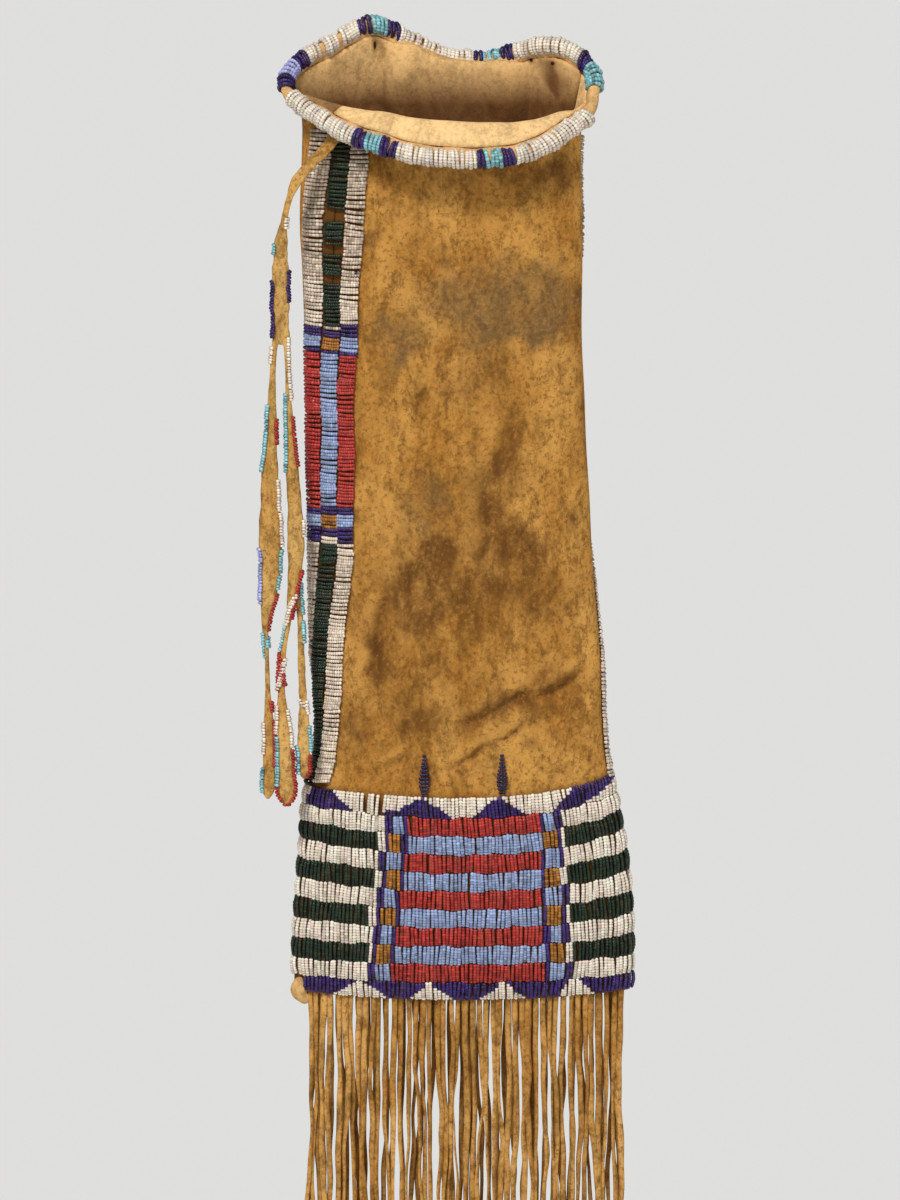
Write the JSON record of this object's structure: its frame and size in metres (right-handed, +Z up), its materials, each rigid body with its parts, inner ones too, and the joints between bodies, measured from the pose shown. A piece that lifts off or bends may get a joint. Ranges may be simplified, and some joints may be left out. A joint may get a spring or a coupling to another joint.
{
  "type": "beaded hide bag",
  "caption": "Tall tubular hide bag with a turned, bead-wrapped mouth, beaded side strips, a banded bead panel, long cut fringe and beaded tie thongs.",
  "frame": {"origin": "middle of the mouth, level with its two corners, where the bag hangs", "axes": "front faces -Y, +X to the viewer's right, +Z up along the hanging bag"},
  "size_m": [0.1871, 0.0731, 0.8047],
  "materials": {
    "smoked_hide": "matt, blotched by smoke and handling",
    "fringe_hide": "matt",
    "thong_hide": "matt",
    "white_beads": "opaque, glossy, slightly yellowed",
    "purple_beads": "opaque, glossy",
    "turquoise_beads": "opaque, glossy",
    "light_blue_beads": "opaque, glossy",
    "red_beads": "opaque, glossy",
    "green_beads": "opaque, glossy"
  },
  "bodies": {
    "root": {"back_hide": "smoked_hide", "bar_centre_1": "red_beads", "bar_centre_2": "light_blue_beads", "bar_centre_3": "red_beads", "bar_centre_4": "light_blue_beads", "bar_centre_5": "red_beads", "bar_centre_6": "light_blue_beads", "bar_centre_7": "red_beads", "bar_centre_8": "light_blue_beads", "bar_centre_9": "red_beads", "bar_left_1": "white_beads", "bar_left_2": "green_beads", "bar_left_3": "white_beads", "bar_left_4": "green_beads", "bar_left_5": "white_beads", "bar_left_6": "green_beads", "bar_left_7": "white_beads", "bar_left_8": "green_beads", "bar_left_9": "white_beads", "bar_right_1": "white_beads", "bar_right_2": "green_beads", "bar_right_3": "white_beads", "bar_right_4": "green_beads", "bar_right_5": "white_beads", "bar_right_6": "green_beads", "bar_right_7": "white_beads", "bar_right_8": "green_beads", "bar_right_9": "white_beads", "column_back_left": "purple_beads", "column_back_right": "purple_beads", "column_front_left": "purple_beads", "column_front_right": "purple_beads", "feather_left": "purple_beads", "feather_right": "purple_beads", "fringe": "fringe_hide", "front_hide": "smoked_hide", "lane_bottom": "purple_beads", "lane_top": "white_beads", "panel_back_centre": "red_beads", "rim_back_accent_left": "turquoise_beads", "rim_back_accent_right": "turquoise_beads", "rim_back_left": "white_beads", "rim_back_middle": "white_beads", "rim_back_right": "white_beads", "rim_front_accent_left": "turquoise_beads", "rim_front_accent_right": "turquoise_beads", "rim_front_left": "white_beads", "rim_front_middle": "white_beads", "rim_front_right": "white_beads", "rim_left_corner": "light_blue_beads", "rim_right_corner": "turquoise_beads", "strip_left": "white_beads", "strip_right": "white_beads", "thong_left": "thong_hide", "thong_right": "thong_hide", "thong_short": "thong_hide", "thong_stem": "thong_hide"}
  },
  "joints": []
}
